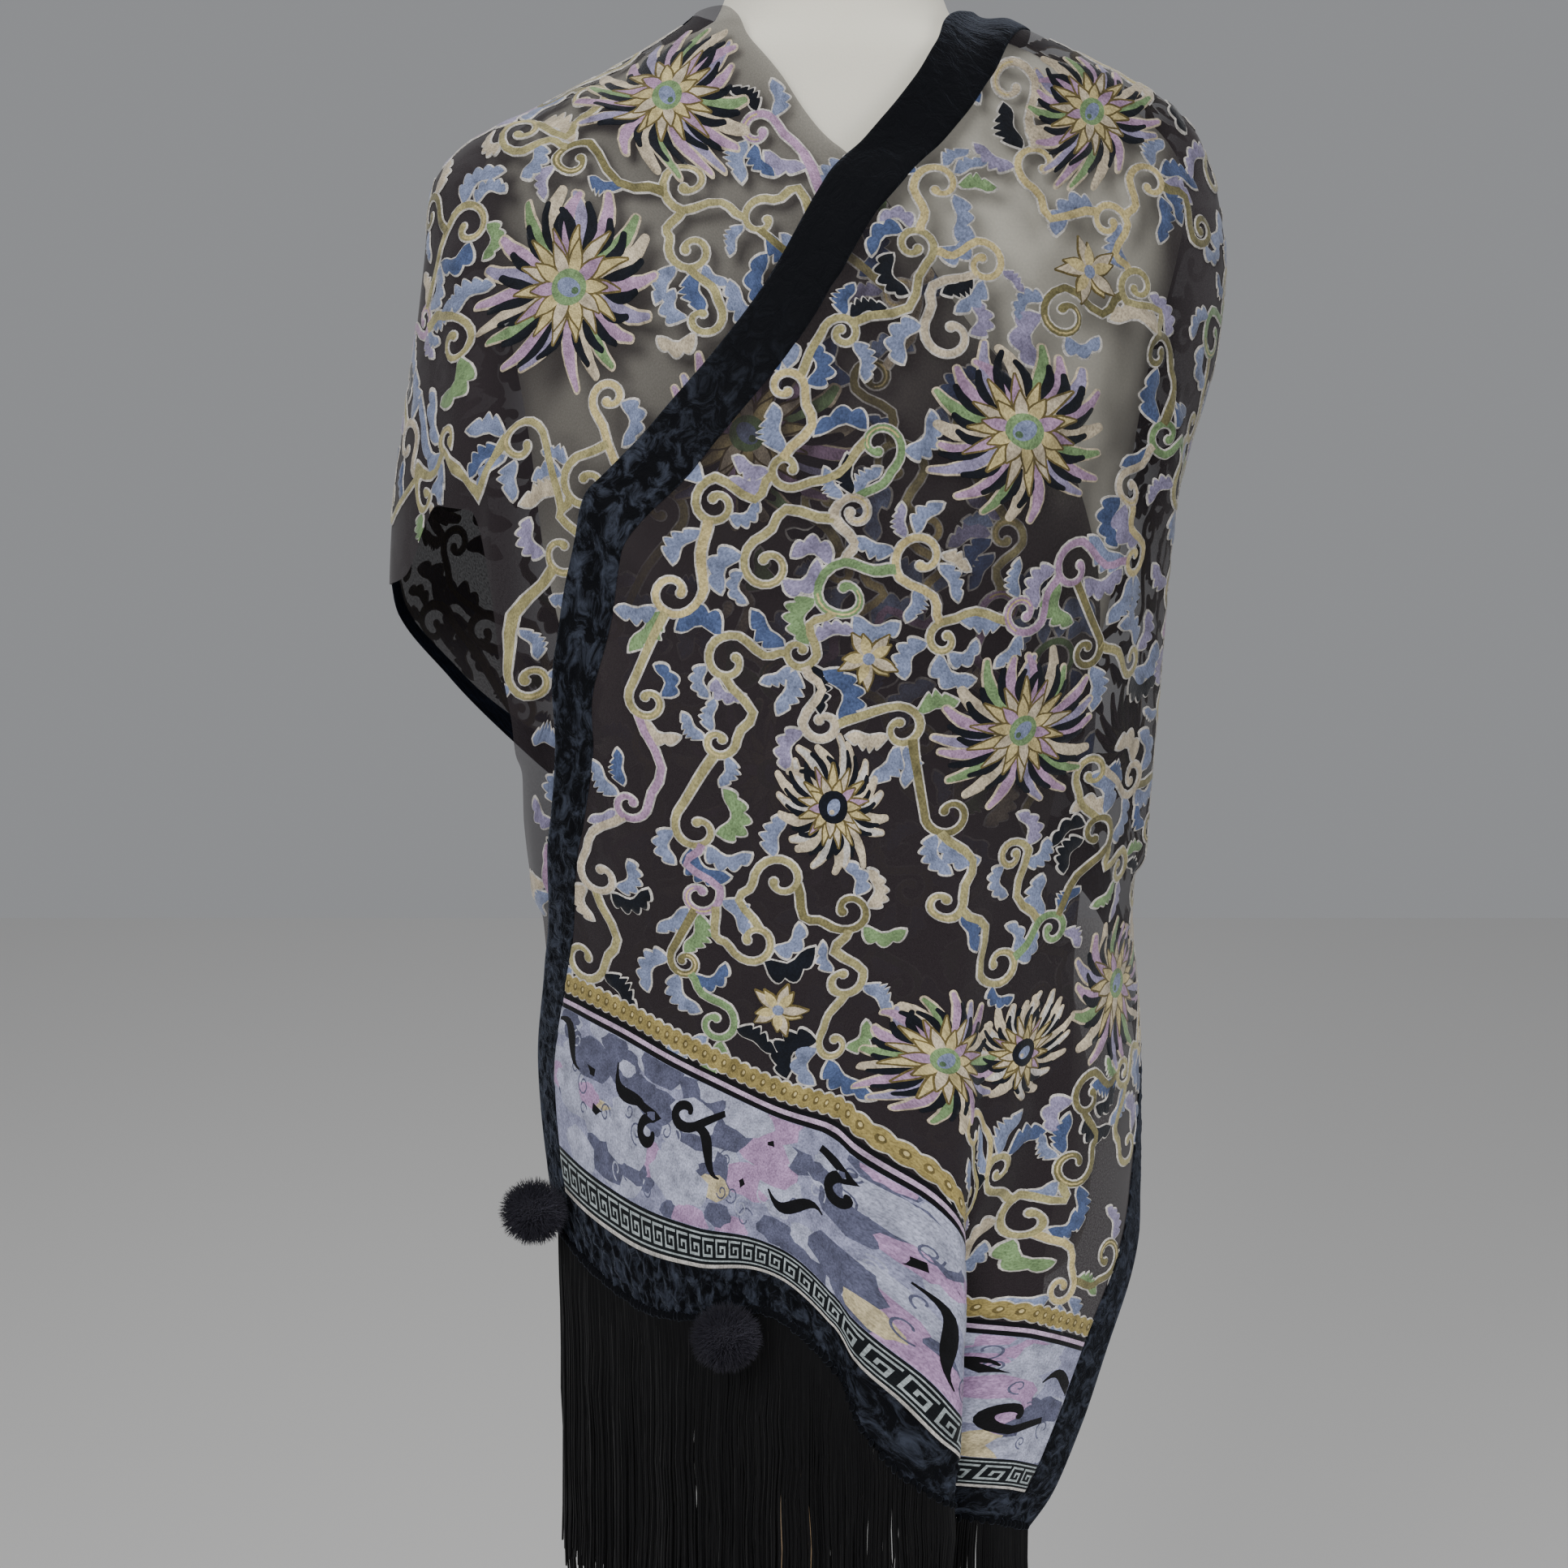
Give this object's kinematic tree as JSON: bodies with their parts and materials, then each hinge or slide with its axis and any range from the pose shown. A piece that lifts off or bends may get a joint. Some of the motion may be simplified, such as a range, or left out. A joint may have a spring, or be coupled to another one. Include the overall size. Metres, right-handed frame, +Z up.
{
  "type": "burnout velvet shawl on a limbless dress form",
  "caption": "Fringed burnout velvet shawl draped over both shoulders of a limbless dress form on a round stand, crossed on the chest.",
  "frame": {"origin": "centre of the footprint on the floor, under the middle of the overall box", "axes": "+Z up, the front of the form faces -Y, the wearer's left is +X"},
  "size_m": [0.436, 0.38, 1.5463],
  "materials": {
    "form_jersey": "cream cotton jersey stretched over a padded dress form",
    "stand_wood": "pale varnished wood",
    "stand_steel": "black painted steel, satin",
    "burnout_velvet": "sheer dark chiffon ground with raised velvet vines and flowers in gold, blue, lilac, green and navy",
    "black_velvet": "smooth black velvet",
    "crushed_velvet": "crushed black velvet with patchy blue-grey sheen",
    "rayon_fringe": "thin black twisted rayon strands",
    "fur": "short dense charcoal fur"
  },
  "bodies": {
    "root": {"form_torso": "form_jersey", "form_neck_cap": "stand_wood", "stand_pole": "stand_wood", "stand_collar": "stand_steel", "stand_base": "stand_steel", "shawl_over_panel": "burnout_velvet", "shawl_over_border_inner": "black_velvet", "shawl_over_border_outer": "black_velvet", "shawl_over_end_facing": "crushed_velvet", "shawl_under_panel": "burnout_velvet", "shawl_under_end_facing": "crushed_velvet", "shawl_back_panel": "burnout_velvet", "shawl_back_border_neck": "black_velvet", "shawl_back_border_lower": "black_velvet", "fringe_over": "rayon_fringe", "fringe_under": "rayon_fringe", "pompom_corner": "fur", "pompom_hem": "fur"}
  },
  "joints": []
}
